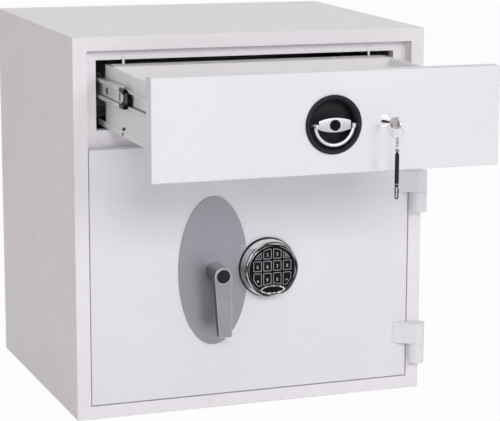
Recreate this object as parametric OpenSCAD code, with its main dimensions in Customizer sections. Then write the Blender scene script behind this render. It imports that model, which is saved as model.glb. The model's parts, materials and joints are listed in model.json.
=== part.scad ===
// Deposit safe: a steel case with a lockable deposit drawer on telescopic slides
// above a hinged door with a lever, a keypad and boltwork.
// The origin is the centre of the base on the floor; the front faces -Y.

/* [Case] */
// Width of the case
case_w = 500; // [440:5:640]
// Height of the case
case_h = 515; // [480:5:680]
// Depth of the case
case_d = 410; // [395:5:520]
// Thickness of the outer sheet
skin = 3; // [2:0.5:4]
// Width of the rim beside the door and drawer
rim_side = 19; // [16:1:28]
// Height of the rim above the drawer
rim_top = 18; // [14:1:26]
// Height of the rim below the door
rim_bottom = 18; // [14:1:26]
// Radius of the folded outer edges
edge_r = 1.5; // [1:0.5:4]
// Depth of the back wall with its filling
back_wall = 38; // [24:1:45]

/* [Inner frame] */
// How far the inner frame reaches in from the rim at the sides
lip_side = 18; // [14:1:24]
// How far the inner frame reaches in above the drawer and above and below the door
lip_end = 15; // [12:1:20]
// Depth of the folded jambs
jamb_d = 16; // [10:1:20]
// Thickness of the inner frame's sheet
frame_t = 3; // [2:0.5:4]
// Thickness of the liner
liner_t = 2; // [1:0.5:3]
// Space behind the inner frame for the bolts, sideways
bolt_reach = 17; // [14:0.5:20]

/* [Door and drawer front] */
// Thickness of the door and of the drawer front
front_t = 20; // [18:1:24]
// Height of the drawer front
drawer_h = 127; // [122:1:150]
// Gap between the fronts and the rim
gap = 1.2; // [0.8:0.2:2]
// Gap between the drawer front and the door
split_gap = 2; // [1.2:0.2:3]
// Thickness of the folded sheet of the fronts
front_skin = 2; // [1.5:0.5:2.5]

/* [Drawer] */
// How far the drawer stands open
drawer_out = 277; // [0:1:300]
// Height of the tray's walls
tray_h = 84.5; // [80:0.5:86]
// How far the tray's walls stay below the top of the drawer front
tray_drop = 19.8; // [19:0.2:24]
// Thickness of the tray's sheet
tray_t = 1.5; // [1:0.25:2]
// Depth of the flange along the top of the tray's rear wall
flange_d = 32; // [20:1:40]
// Depth of the lock space behind the drawer front
lock_bay = 32; // [30:1:40]

/* [Slides] */
// Thickness of a closed slide
slide_t = 12.7; // [12.5:0.1:14]
// Height of the slide's outer member
slide_h = 35; // [35:1:40]
// Space behind the closed slides
slide_end = 30; // [20:1:60]
// Sheet thickness of the slide's members
slide_sheet = 1.2; // [1:0.1:1.5]
// Height of the slide's axis above the foot of the tray's walls
slide_rise = 54; // [50:0.5:56]
// Length of the black end piece of a slide
bumper_len = 24; // [18:1:30]

/* [Drawer pull and lock] */
// Sideways offset of the pull from the middle of the drawer front
pull_x = 3; // [-20:0.5:20]
// Outer radius of the pull's cup
cup_r = 36.9; // [35:0.1:42]
// Depth of the pull's cup behind the drawer front
cup_depth = 15; // [12:0.5:16]
// Mean radius of the pull's bail
bail_r = 25; // [23:0.5:26]
// Radius of the bail's rod
bail_rod = 2.4; // [1.8:0.1:2.6]
// Sideways offset of the drawer lock from the middle
lock_x = 70; // [60:0.5:120]
// Radius of the drawer lock's barrel
barrel_r = 8; // [7:0.5:10]

/* [Hinges] */
// Radius of the hinge barrels
hinge_r = 11; // [10:0.5:12]
// Radius of the hinge pins
pin_r = 4; // [3:0.5:5]
// Height of a hinge's leaf
leaf_h = 30; // [26:1:40]
// Height of a hinge's fixed knuckle
knuckle_h = 28.5; // [22:0.5:34]
// Thickness of a hinge's leaf at its free edge
leaf_t = 1.5; // [1:0.5:3]
// How far a leaf reaches onto the door
leaf_reach = 21; // [16:1:40]

/* [Lever and keypad] */
// Sideways place of the lever's axis
lever_x = -57.5; // [-70:0.5:-50]
// Radius of the lever's hub and boss
hub_r = 12.2; // [10:0.2:14]
// Length of the lever below its axis
lever_len = 85; // [70:1:100]
// Width of the lever at its foot
lever_foot = 18; // [14:0.5:22]
// How far the lever stands off the door
lever_off = 40; // [34:1:48]
// Width of the oval plate round the lever
oval_w = 99; // [90:1:104]
// Height of the oval plate round the lever
oval_h = 205; // [170:1:240]
// Sideways place of the keypad
pad_x = 19; // [16:0.5:40]
// Radius of the keypad's foot
pad_r = 41.4; // [40:0.2:43]
// How far the keypad stands off the door
pad_off = 23; // [20:0.5:28]

/* [Boltwork] */
// Radius of the bolts
bolt_r = 9; // [7:0.5:10]
// How far the bolts move
bolt_throw = 20; // [14:1:20]
// Spacing of the bolts
bolt_pitch = 93; // [70:1:95]
// Depth of the boltwork's case behind the door
works_d = 45; // [42:1:48]

/* [Base fixing] */
// Radius of the holes in the base
fix_r = 7; // [5:0.5:9]
// Spacing of the holes from side to side
fix_w = 300; // [200:10:340]
// Spacing of the holes from front to back
fix_d = 200; // [140:10:240]

/* [Hidden] */
$fn = 48;
eps = 0.01;
// Clearance between pieces that only lie beside each other
near = 0.3;
// Clearance in a turning or sliding fit
fit = 0.3;
// Clearance between round pieces fixed into each other
snug = 0.05;
front_y = -case_d / 2;
back_y = case_d / 2;
recess_w = case_w - 2 * rim_side;
recess_z0 = rim_bottom;
recess_z1 = case_h - rim_top;
// Depth behind the fronts before the inner frame
seat = 2;
front_w = recess_w - 2 * gap;
drawer_z1 = recess_z1 - gap;
drawer_z0 = drawer_z1 - drawer_h;
drawer_zc = (drawer_z0 + drawer_z1) / 2;
door_z0 = recess_z0 + gap;
door_z1 = drawer_z0 - split_gap;
door_zc = (door_z0 + door_z1) / 2;
front_back_y = front_y + front_t;
// Inner frame and the two openings in it
frame_y = front_back_y + seat;
frame_back_y = frame_y + frame_t;
jamb_y = frame_y + jamb_d;
open_w = recess_w - 2 * lip_side;
bay_clear = 2.3;
bay_z1 = recess_z1 - lip_end;
bay_z0 = recess_z1 - gap - tray_drop - tray_h - bay_clear;
room_z0 = recess_z0 + lip_end;
room_z1 = door_z1 - lip_end;
// Liner, as its inside faces
liner_gap = 1;
liner_x = open_w / 2 + bolt_reach;
liner_z0 = room_z0 - frame_t - liner_gap;
liner_z1 = bay_z1 + frame_t + liner_gap;
liner_y1 = back_y - back_wall - liner_t;
shelf_z = (bay_z0 + room_z1) / 2;
// Tray and slides in the closed position
hem_t = 3.5;
hem_h = 4;
ledge_w = 10;
flange_w = 14;
rail_h = 8;
rail_tail = 35;
rail_out = 0.6;
slide_clear = 1.3;
bracket_t = 1.5;
tray_x = open_w / 2 - slide_clear - slide_t;
tray_z1 = drawer_z1 - tray_drop;
tray_z0 = bay_z0 + bay_clear;
slide_y0 = jamb_y + 2;
slide_len = liner_y1 - slide_end - slide_y0;
tray_len = slide_len - 18;
tray_y1 = front_back_y + tray_len;
rear_y = tray_y1 - flange_d;
inner_y = front_back_y + lock_bay;
slide_z = tray_z0 + slide_rise;
slide_back_x = tray_x + slide_t;
mid_h = slide_h - 8;
low_h = slide_h - 15.5;
web_x = 7;
lip_h = 5.2;
tongue_len = 8;
nose_len = 14;
nose_step = 10;
bumper_y0 = front_back_y + 20;
mid_y0 = bumper_y0 + bumper_len;
mid_len = slide_len - 30;
low_gap = 4;
// Pull and drawer lock
pull_z = drawer_zc - 1.8;
bowl_r = bail_r + bail_rod + 1.4;
cup_lip = 3;
cup_wall = 1.6;
cup_round = 1.4;
post_r = 6;
ear_x = bowl_r - 0.5;
ear_w = 3.6;
bail_pin_r = 1.5;
bail_y = front_y - cup_lip;
eye_w = 2 * (bail_r - bail_rod) - 3;
eye_h = 18;
plate_t = 2.5;
disc_r = 6.8;
disc_t = 1.1;
lock_z = drawer_zc;
lock_proud = 0.4;
plug_r = barrel_r - 3;
barrel_len = front_t + seat + jamb_d + 2;
cam_y = front_y + barrel_len + 1.5;
cam_t = 2.5;
cam_w = 14;
tail_stud_r = 3;
bow_y0 = front_y - 24;
bow_y1 = front_y - 54;
bow_h = 17;
key_t = 2.2;
key_neck_r = 1.6;
ring_y = bow_y1 + 11;
bow_rise = 3;
ring_hole = 2.2;
ring_wire = 0.6;
ring_r = 7.6;
link_wire = 0.6;
link_r = 3.1;
link_count = 3;
ring_top_z = lock_z - ring_hole + ring_wire + near;
ring_z = ring_top_z - ring_r;
ring_low_z = ring_z - ring_r;
link_step = ring_wire + link_wire + near;
link_z = ring_low_z + link_step - link_r;
link_pitch = 2 * link_r - 2 * link_wire - near;
tag_eye_r = 1.8;
tag_eye_z = link_z - link_pitch * link_count + link_r - tag_eye_r;
tag_r = 2.6;
tag_neck = 3.2;
tag_z1 = tag_eye_z - tag_eye_r - tag_neck + 0.4;
tag_len = 36.5;
collar_h = 4.6;
loop_h = 13.7;
loop_t = 1.4;
// Hinges
hinge_off = 0.5;
hinge_over = 2.2;
hinge_x = case_w / 2 - hinge_r + hinge_over;
hinge_y = front_y - hinge_r - hinge_off;
hinge_ease = 1.5;
// Heights of the two joints between knuckle and leaf
hinge_low = 49.5;
hinge_high = 80;
hinge_zs = [door_z0 + hinge_low, door_z1 - hinge_high];
pin_len = leaf_h - 10;
pin_foot = 4;
// Boltwork
works_edge = 7;
works_x = open_w / 2 - works_edge;
works_z0 = room_z0 + works_edge;
works_z1 = room_z1 - works_edge;
works_y = front_back_y + works_d;
works_t = 1.5;
bolt_y = jamb_y + bolt_r + 3;
bolt_zs = [for (i = [-1:1]) door_zc + i * bolt_pitch];
bolt_end_x = -works_x + 0.5;
bar_t = 8;
tail_r = 2.5;
tail_over = 4;
bar_x = -works_x + works_t + bolt_throw + 1;
bar_w = 14;
crank_r = bolt_throw;
crank_pin_r = 4;
crank_w = 14;
crank_t = 5;
crank_y1 = bolt_y - bar_t / 2 - 1;
spindle_r = 5;
spindle_hole_r = spindle_r + 1;
cable_hole_r = 5;
dog_block = 22;
unit_w = 60;
unit_h = 84;
unit_d = 25;
unit_x = pad_x - 25;
lever_z = door_zc;
pad_z = door_zc;
oval_t = 2;
oval_x = lever_x - 1;
// Keypad: a step ring, a bright bezel and a sunk face with the keys
foot_h = 5;
bezel_r1 = pad_r - 2.6;
bezel_r0 = pad_r - 8.4;
face_t = 5;
face_drop = 2.4;
key_w = 12.6;
key_tall = 14.8;
key_round = 1.6;
key_pitch_x = 14.3;
key_pitch_z = 16.8;
key_row_z = 22.6;
key_area_r = 30.2;
key_h = 3.4;
key_floor = 3.2;
key_travel = 1.2;
badge_w = 41;
badge_h = 14;
badge_z = -27.6;

// Block with its corner on x0, y0, z0 and its far corner on x1, y1, z1
module span(x0, x1, y0, y1, z0, z1) {
    translate([x0, y0, z0]) cube([x1 - x0, y1 - y0, z1 - z0]);
}

// Block centred on x = 0
module wide(w, y0, y1, z0, z1) {
    span(-w / 2, w / 2, y0, y1, z0, z1);
}

// Cylinder along Y from y0 to y1
module rod_y(x, z, r, y0, y1) {
    translate([x, y0, z]) rotate([-90, 0, 0]) cylinder(r = r, h = y1 - y0);
}

// Cylinder along X from x0 to x1
module rod_x(y, z, r, x0, x1) {
    translate([x0, y, z]) rotate([0, 90, 0]) cylinder(r = r, h = x1 - x0);
}

// Cylinder along Z from z0 to z1
module rod_z(x, y, r, z0, z1) {
    translate([x, y, z0]) cylinder(r = r, h = z1 - z0);
}

// Rectangle with round corners, centred
module round_rect(w, h, r) {
    square([w - 2 * r, h], center = true);
    square([w, h - 2 * r], center = true);
    for (sx = [-1, 1], sy = [-1, 1]) translate([sx * (w / 2 - r), sy * (h / 2 - r)]) circle(r);
}

// Slab facing Y with round corners seen from the front
module slab_y(w, y0, y1, z0, z1, r) {
    translate([0, y1, (z0 + z1) / 2]) rotate([90, 0, 0])
        linear_extrude(y1 - y0) round_rect(w, z1 - z0, r);
}

// Block whose front edges are folded to a radius
module folded_front(w, y0, y1, z0, z1, r) {
    deep = y1 - y0 + 2 * r;
    intersection() {
        wide(w, y0, y1, z0, z1);
        translate([0, y0 + deep / 2, z0]) linear_extrude(z1 - z0) round_rect(w, deep, r);
        translate([-w / 2, y0 + deep / 2, (z0 + z1) / 2]) rotate([90, 0, 90])
            linear_extrude(w) round_rect(deep, z1 - z0, r);
    }
}

// Sheet pan, open at the back, with folded front edges
module pan(w, y0, y1, z0, z1, t, r) {
    difference() {
        folded_front(w, y0, y1, z0, z1, r);
        wide(w - 2 * t, y0 + t, y1 + 1, z0 + t, z1 - t);
    }
}

// The same children on the right and, mirrored, on the left
module both_sides() {
    children();
    mirror([1, 0, 0]) children();
}

module at_drawer() {
    translate([0, -drawer_out, 0]) children();
}

module at_mid() {
    translate([0, -drawer_out / 2, 0]) children();
}

module base_holes(z0, z1) {
    for (x = [-1, 1], y = [-1, 1]) rod_z(x * fix_w / 2, y * fix_d / 2, fix_r, z0, z1);
}

module casing() {
    color("gainsboro") difference() {
        union() {
            difference() {
                intersection() {
                    folded_front(case_w, front_y, back_y, 0, case_h, edge_r);
                    slab_y(case_w, front_y, back_y, 0, case_h, edge_r);
                }
                wide(case_w - 2 * skin, front_y + skin, back_y + 1, skin, case_h - skin);
            }
            difference() {
                wide(recess_w + 2 * skin, front_y + skin - eps, frame_y, recess_z0 - skin, recess_z1 + skin);
                wide(recess_w, front_y, frame_y + 1, recess_z0, recess_z1);
            }
        }
        wide(recess_w, front_y - 1, front_y + skin + 1, recess_z0, recess_z1);
        base_holes(-1, skin + 1);
    }
}

module back_panel() {
    inset = skin + near / 2;
    color("gainsboro") wide(case_w - 2 * inset, back_y - skin, back_y, inset, case_h - inset);
}

// The liner's inside, grown on its five closed sides and led out at its open front
module liner_block(grow, lead) {
    wide(2 * (liner_x + grow), frame_back_y - lead, liner_y1 + grow, liner_z0 - grow, liner_z1 + grow);
}

module barrier_fill() {
    color("silver") difference() {
        wide(case_w - 2 * skin, frame_back_y, back_y - skin, skin, case_h - skin);
        liner_block(liner_t, 1);
        base_holes(0, liner_z0);
    }
}

module liner() {
    color("lightgray") difference() {
        liner_block(liner_t, 0);
        liner_block(0, 1);
        base_holes(0, liner_z0 + 1);
    }
}

// Folded frame round one opening: the sheet's hole and its jambs
module opening_jambs(z0, z1) {
    difference() {
        wide(open_w + 2 * frame_t, frame_y, jamb_y, z0 - frame_t, z1 + frame_t);
        wide(open_w, frame_y - 1, jamb_y + 1, z0, z1);
    }
}

module front_frame() {
    color("gainsboro") union() {
        difference() {
            wide(case_w - 2 * skin - 1, frame_y, frame_back_y, skin + 0.5, case_h - skin - 0.5);
            wide(open_w, frame_y - 1, frame_back_y + 1, bay_z0, bay_z1);
            wide(open_w, frame_y - 1, frame_back_y + 1, room_z0, room_z1);
        }
        opening_jambs(bay_z0, bay_z1);
        opening_jambs(room_z0, room_z1);
    }
}

// Shelf between the drawer's bay and the safe room, open under the drawer
module shelf() {
    ledge = 20;
    upstand = 12;
    over = 6;
    drop_y0 = inner_y - over;
    drop_y1 = rear_y + 2 * over;
    color("lightgray") difference() {
        union() {
            wide(2 * liner_x, frame_back_y, liner_y1, shelf_z - liner_t, shelf_z);
            wide(2 * liner_x, liner_y1 - liner_t, liner_y1, shelf_z, shelf_z + upstand);
        }
        wide(2 * (liner_x - ledge), drop_y0, drop_y1, shelf_z - liner_t - 1, shelf_z + 1);
    }
}

// Spacer channels that carry the slides on the liner
module slide_brackets() {
    half = slide_h / 2 - 2.5;
    color("lightgray") both_sides() difference() {
        span(slide_back_x, liner_x, slide_y0, slide_y0 + slide_len, slide_z - half, slide_z + half);
        span(slide_back_x + bracket_t, liner_x + 1, slide_y0 - 1, slide_y0 + slide_len + 1,
            slide_z - half + bracket_t, slide_z + half - bracket_t);
    }
}

// Outline of the slide's outer member: a channel with curled lips
module outer_outline() {
    h = slide_h / 2;
    t = slide_sheet;
    difference() {
        translate([2, -h]) square([slide_t - 2, slide_h]);
        translate([1, -h + t]) square([slide_t - 1 - t, slide_h - 2 * t]);
    }
    for (s = [-1, 1]) translate([2, s > 0 ? h - 2.2 : -h + t]) square([0.8, 2.2 - t]);
}

// Outline of the middle member: a web with a flange and a ball track above and below
module mid_outline() {
    h = mid_h / 2;
    t = slide_sheet;
    translate([web_x, -h + 1]) square([t, mid_h - 2]);
    for (s = [-1, 1]) difference() {
        union() {
            translate([2.4, s > 0 ? h - 3.2 : -h]) square([web_x - 1, 3.2]);
            translate([web_x, s > 0 ? h - lip_h : -h]) square([4, lip_h]);
        }
        translate([web_x - 0.3, s * (h + 1.2)]) circle(r = 2.1, $fn = 24);
        translate([1, s > 0 ? h - 3.3 : -h + 1.4]) square([web_x - 1, 1.9]);
    }
}

// Outline of the inner member: a channel that opens away from the tray
module inner_outline() {
    h = low_h / 2;
    t = slide_sheet;
    difference() {
        translate([0, -h]) square([5.6, low_h]);
        translate([t, -h + t]) square([6, low_h - 2 * t]);
    }
}

// Extrudes a slide outline, given outward from the tray, along Y on the right side
module slide_bar(y0, len) {
    translate([tray_x, y0 + len, slide_z]) rotate([90, 0, 0]) linear_extrude(len) children();
}

module slide_outer() {
    color("silver") both_sides() slide_bar(slide_y0, slide_len) outer_outline();
}

// Middle members, with a tongue in front, a slot behind it and windows in the web
module slide_mid() {
    tongue_h = 10;
    slot_y0 = mid_y0 + 2;
    window_in = 60;
    window_pitch = (mid_len - window_in - 50) / 2;
    color("silver") at_mid() both_sides() difference() {
        union() {
            slide_bar(mid_y0, mid_len) mid_outline();
            slide_bar(mid_y0 - tongue_len, tongue_len + 1)
                translate([web_x, -tongue_h / 2]) square([slide_sheet, tongue_h]);
        }
        web_hole(slot_y0, 7, tongue_h / 2);
        for (i = [0:2]) web_hole(mid_y0 + window_in + window_pitch * i, 10, 4);
    }
}

// Hole through the web of the middle member
module web_hole(y0, len, half) {
    span(tray_x + web_x - 1, tray_x + web_x + 3, y0, y0 + len, slide_z - half, slide_z + half);
}

// Black end pieces: two corner blocks, a plate behind the web and a nose in the inner member
module slide_bumpers() {
    h = mid_h / 2;
    plate_w = 0.9;
    plate_x = web_x - plate_w - 0.2;
    plate_tail = 12;
    block_w = web_x + 4 - plate_x;
    block_h = 5.4;
    block_in = 0.6;
    nose_h = low_h / 2 - slide_sheet - 0.5;
    nose_x = slide_sheet + near;
    nose_w = plate_x - nose_x - 0.6;
    nose_y0 = bumper_y0 - nose_len;
    step_y0 = nose_y0 + nose_step;
    color("black") at_mid() both_sides() {
        slide_bar(bumper_y0, bumper_len + plate_tail)
            translate([plate_x, -h + 3 * block_in]) square([plate_w, mid_h - 6 * block_in]);
        slide_bar(bumper_y0, bumper_len) for (s = [-1, 1])
            translate([plate_x, s > 0 ? h - block_in - block_h : block_in - h]) square([block_w, block_h]);
        slide_bar(bumper_y0, bumper_len) translate([nose_x, -nose_h])
            square([plate_x + 0.2 - nose_x, 2 * nose_h]);
        slide_bar(nose_y0, nose_len + 1) translate([nose_x, -nose_h]) square([nose_w, nose_h + 1]);
        slide_bar(step_y0, bumper_y0 + 1 - step_y0) translate([nose_x, 0]) square([nose_w, nose_h - 1]);
    }
}

module slide_inner() {
    color("silver") at_drawer() both_sides() slide_bar(front_back_y + low_gap, tray_len - low_gap - 2)
        inner_outline();
}

// Small tabs on the inner frame that hang down over the top of the tray
module lip_stops() {
    stop_in = 37.5;
    stop_x = open_w / 2 - stop_in;
    half = 1.4;
    foot = 8;
    color("white") both_sides() span(stop_x - half, stop_x + half, frame_y - half, frame_y,
        tray_z1 + near, bay_z1 + foot);
}

module drawer_front() {
    color("gainsboro") at_drawer() difference() {
        pan(front_w, front_y, front_back_y, drawer_z0, drawer_z1, front_skin, edge_r);
        rod_y(pull_x, pull_z, bowl_r + 2, front_y - 1, front_y + front_skin + 1);
        rod_y(lock_x, lock_z, barrel_r + snug, front_y - 1, front_y + front_skin + 1);
    }
}

module drawer_backing() {
    color("lightgray") at_drawer() difference() {
        wide(front_w - 2 * front_skin, front_back_y - front_skin, front_back_y,
            drawer_z0 + front_skin, drawer_z1 - front_skin);
        rod_y(lock_x, lock_z, barrel_r + snug, front_back_y - front_skin - 1, front_back_y + 1);
    }
}

// Side walls of the tray with hemmed tops, foot ledges, front flanges and a rail along the foot
module tray() {
    color("gainsboro") at_drawer() both_sides() union() {
        span(tray_x - tray_t, tray_x, front_back_y, tray_y1, tray_z0, tray_z1);
        span(tray_x - hem_t, tray_x, front_back_y, rear_y, tray_z1 - hem_h, tray_z1);
        span(tray_x - ledge_w, tray_x, inner_y, tray_y1, tray_z0, tray_z0 + tray_t);
        span(tray_x - flange_w, tray_x, front_back_y, front_back_y + tray_t, tray_z0, tray_z1);
        span(tray_x - tray_t, tray_x + rail_out, front_back_y, tray_y1 + rail_tail,
            tray_z0, tray_z0 + rail_h);
    }
}

// Floor of the tray, folded up in front of the deposit space and over the lock space
module tray_floor() {
    w = 2 * (tray_x - tray_t);
    top_z = tray_z1 - hem_h;
    color("gainsboro") at_drawer() union() {
        wide(w, inner_y, rear_y, tray_z0 + tray_t, tray_z0 + 2 * tray_t);
        wide(w, inner_y, inner_y + tray_t, tray_z0 + tray_t, top_z);
        wide(w - 2 * hem_t, front_back_y + tray_t, inner_y + tray_t, top_z - tray_t, top_z);
    }
}

// Rear wall with the flange that shuts the opening while the drawer is out
module tray_rear_wall() {
    w = 2 * (tray_x - tray_t);
    top_w = w - 2 * hem_t - 1;
    lip = 12;
    color("white") at_drawer() union() {
        wide(w, rear_y, rear_y + tray_t, tray_z0 + tray_t, tray_z1);
        wide(top_w, rear_y, tray_y1, tray_z1 - tray_t, tray_z1);
        wide(top_w, tray_y1 - tray_t, tray_y1, tray_z1 - lip, tray_z1);
        wide(w, rear_y, tray_y1, tray_z0 + tray_t, tray_z0 + 2 * tray_t);
    }
}

// Cup of the recessed pull, turned about its axis, with a post and two ears for the bail
module pull_cup() {
    ear_r = 3;
    color("black") at_drawer() translate([pull_x, front_y, pull_z]) rotate([-90, 0, 0]) difference() {
        union() {
            rotate_extrude() difference() {
                union() {
                    square([bowl_r + cup_wall, cup_depth + cup_wall]);
                    translate([0, -cup_lip + cup_round]) square([cup_r, cup_lip - cup_round]);
                    translate([0, -cup_lip]) square([cup_r - cup_round, cup_lip]);
                    translate([cup_r - cup_round, -cup_lip + cup_round]) circle(cup_round);
                }
                translate([-1, -cup_lip - 1]) square([bowl_r + 1, cup_depth + cup_lip + 1]);
                polygon([[0, -cup_lip - 1], [bowl_r + 4, -cup_lip - 1], [bowl_r, 1], [0, 1]]);
            }
            translate([0, 0, -cup_lip]) cylinder(r = post_r, h = cup_depth + cup_lip + 0.5);
            for (s = [-1, 1]) translate([s * ear_x, 0, bail_y - front_y]) rotate([0, s * 90, 0])
                cylinder(r = ear_r, h = ear_w);
        }
        for (s = [-1, 1]) translate([s * (ear_x - 1), 0, bail_y - front_y]) rotate([0, s * 90, 0])
            cylinder(r = bail_pin_r + fit, h = ear_w + 2);
    }
}

// Barrel-shaped plate across the cup, on the post
module pull_plate() {
    color("silver") at_drawer() translate([pull_x, front_y - cup_lip, pull_z]) rotate([90, 0, 0])
        linear_extrude(plate_t) intersection() {
            lens(2.08 * eye_w, eye_h);
            square([eye_w, eye_h + 2], center = true);
        }
}

module pull_disc() {
    disc_y1 = front_y - cup_lip - plate_t;
    color("black") at_drawer() rod_y(pull_x, pull_z, disc_r, disc_y1 - disc_t, disc_y1);
}

// Half ring with two pins that turn in the ears
module pull_bail() {
    color("silver") at_drawer() translate([pull_x, bail_y, pull_z]) {
        rotate([90, 0, 0]) intersection() {
            rotate_extrude() translate([bail_r, 0]) circle(r = bail_rod);
            translate([-bail_r - 5, -bail_r - 5, -5]) cube([2 * bail_r + 10, bail_r + 5, 10]);
        }
        for (s = [-1, 1]) {
            translate([s * bail_r, 0, 0]) sphere(r = bail_rod);
            translate([s * bail_r, 0, 0]) rotate([0, s * 90, 0])
                cylinder(r = bail_pin_r, h = ear_x + ear_w - bail_r);
        }
    }
}

module lock_barrel() {
    color("silver") at_drawer() difference() {
        rod_y(lock_x, lock_z, barrel_r, front_y - lock_proud, front_y + barrel_len);
        rod_y(lock_x, lock_z, plug_r + fit, front_y - 1, front_y + barrel_len + 1);
    }
}

module lock_plug() {
    color("dimgray") at_drawer() difference() {
        union() {
            rod_y(lock_x, lock_z, plug_r, front_y - lock_proud, cam_y - 0.5);
            rod_y(lock_x, lock_z, tail_stud_r, cam_y - 1, cam_y + cam_t + 1.5);
        }
        rod_y(lock_x, lock_z, key_neck_r + snug, front_y - 4, front_y + 20);
    }
}

// Cam that drops behind the frame's lower jamb when the lock is turned
module lock_cam() {
    reach = lock_z - bay_z0 + frame_t + 2;
    color("silver") at_drawer() difference() {
        union() {
            rod_y(lock_x, lock_z, cam_w / 2 + 1, cam_y, cam_y + cam_t);
            span(lock_x - reach, lock_x, cam_y, cam_y + cam_t, lock_z - cam_w / 2, lock_z + cam_w / 2);
        }
        rod_y(lock_x, lock_z, tail_stud_r + snug, cam_y - 1, cam_y + cam_t + 1);
    }
}

// Key with a flat round-ended bow and a hole for the ring
module drawer_key() {
    mid_y = (bow_y0 + bow_y1) / 2;
    len = bow_y0 - bow_y1;
    color("silver") at_drawer() {
        translate([lock_x - key_t / 2, mid_y, lock_z]) rotate([90, 0, 90]) linear_extrude(key_t)
            difference() {
                translate([0, bow_rise]) round_rect(len, bow_h, bow_h / 2 - 0.5);
                translate([ring_y - mid_y, 0]) circle(ring_hole);
            }
        rod_y(lock_x, lock_z, key_neck_r, bow_y0 - 1, front_y + 18);
    }
}

// Ring of round wire; flat = true lays it in the XZ plane
module wire_ring(z, r, wire, flat) {
    translate([lock_x, ring_y, z]) rotate(flat ? [90, 0, 0] : [0, 90, 0])
        rotate_extrude() translate([r, 0]) circle(r = wire, $fn = 24);
}

module key_ring() {
    color("silver") at_drawer() wire_ring(ring_z, ring_r, ring_wire, true);
}

// Short chain between the ring and the tag, each link turned against the one above
module ring_links() {
    color("silver") at_drawer() for (i = [0:link_count - 1])
        wire_ring(link_z - i * link_pitch, link_r, link_wire, i % 2 == 1);
}

// Dark tag with a tapered neck, a collar and an open loop at its foot
module key_tag() {
    collar_z = tag_z1 - tag_len - collar_h;
    color("dimgray") at_drawer() {
        wire_ring(tag_eye_z, tag_eye_r, link_wire, link_count % 2 == 1);
        translate([lock_x, ring_y, tag_z1]) {
            cylinder(r1 = tag_r, r2 = 0.8, h = tag_neck);
            translate([0, 0, -tag_len]) cylinder(r = tag_r, h = tag_len);
            translate([0, 0, -tag_len - collar_h]) cylinder(r = tag_r - 0.4, h = collar_h);
        }
        translate([lock_x, ring_y + loop_t / 2, collar_z - loop_h / 2]) rotate([90, 0, 0])
            linear_extrude(loop_t) difference() {
                round_rect(2 * tag_r - 0.4, loop_h + 2, tag_r - 0.4);
                round_rect(2 * tag_r - 2.6, loop_h - 0.4, tag_r - 1.4);
            }
    }
}

// Fixed knuckles, each on a block that is welded to the front of the case
module hinge_knuckles() {
    block_x0 = hinge_x - hinge_r + 2;
    block_x1 = case_w / 2 - edge_r - near;
    color("gainsboro") for (z = hinge_zs) difference() {
        union() {
            rod_z(hinge_x, hinge_y, hinge_r, z - knuckle_h + hinge_ease, z);
            translate([hinge_x, hinge_y, z - knuckle_h])
                cylinder(r1 = hinge_r - hinge_ease, r2 = hinge_r, h = hinge_ease);
            span(block_x0, block_x1, hinge_y, front_y, z - knuckle_h + 2, z);
        }
        rod_z(hinge_x, hinge_y, pin_r + snug, z - knuckle_h + pin_foot, z + 1);
    }
}

module hinge_pins() {
    color("silver") for (z = hinge_zs) rod_z(hinge_x, hinge_y, pin_r, z - knuckle_h + pin_foot, z + pin_len);
}

// Outline of a hinge's leaf: the barrel and a tail that runs from its front down to the door
module leaf_outline() {
    tail_x = front_w / 2 - leaf_reach - hinge_x;
    tail_y = hinge_r + hinge_off - leaf_t;
    turn = atan2(tail_y, tail_x) + acos(hinge_r / norm([tail_x, tail_y]));
    circle(hinge_r);
    polygon([
        [tail_x, tail_y + leaf_t], [tail_x, tail_y],
        [hinge_r * cos(turn), hinge_r * sin(turn)],
        [0, 0], [-hinge_r / 2, tail_y + leaf_t]
    ]);
}

// Leaves on the door, whose barrels sit on the knuckles
module hinge_leaves() {
    color("gainsboro") for (z = hinge_zs) difference() {
        translate([hinge_x, hinge_y, z + near]) linear_extrude(leaf_h - near) leaf_outline();
        rod_z(hinge_x, hinge_y, pin_r + fit, z - 1, z + pin_len + near);
        span(front_w / 2 + 0.2, hinge_x + hinge_r, front_y - near, front_y + 1, z - 1, z + leaf_h + 1);
    }
}

module door_pan() {
    color("gainsboro") difference() {
        pan(front_w, front_y, front_back_y, door_z0, door_z1, front_skin, edge_r);
        rod_y(lever_x, lever_z, spindle_hole_r, front_y - 1, front_back_y);
        rod_y(pad_x, pad_z, cable_hole_r, front_y - 1, front_back_y);
    }
}

// Filling and back plate of the door
module door_core() {
    color("lightgray") difference() {
        wide(front_w - 2 * front_skin, front_y + front_skin, front_back_y,
            door_z0 + front_skin, door_z1 - front_skin);
        rod_y(lever_x, lever_z, spindle_hole_r, front_y, front_back_y + 1);
        rod_y(pad_x, pad_z, cable_hole_r, front_y, front_back_y + 1);
    }
}

// Sheet box over the boltwork, with holes for the bolts
module works_case() {
    color("lightgray") difference() {
        wide(2 * works_x, front_back_y, works_y, works_z0, works_z1);
        wide(2 * (works_x - works_t), front_back_y - 1, works_y - works_t,
            works_z0 + works_t, works_z1 - works_t);
        for (z = bolt_zs) rod_x(bolt_y, z, bolt_r + near, -works_x - 1, works_x + 1);
    }
}

// Fixed bolts on the hinge side, on short blocks
module dog_bolts() {
    dog_x1 = open_w / 2 + 2;
    block_x = works_x - works_t - dog_block;
    color("silver") for (z = bolt_zs) {
        rod_x(bolt_y, z, bolt_r - 1, block_x, dog_x1);
        span(block_x - dog_block / 3, block_x + dog_block / 3, front_back_y, bolt_y + bolt_r - 2,
            z - bolt_r - 3, z + bolt_r + 3);
    }
}

// The oval plate's body, grown sideways
module oval(grow) {
    translate([oval_x, front_y, door_zc]) rotate([90, 0, 0]) linear_extrude(oval_t)
        scale([1, oval_h / oval_w]) circle(d = oval_w + 2 * grow, $fn = 96);
}

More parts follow.
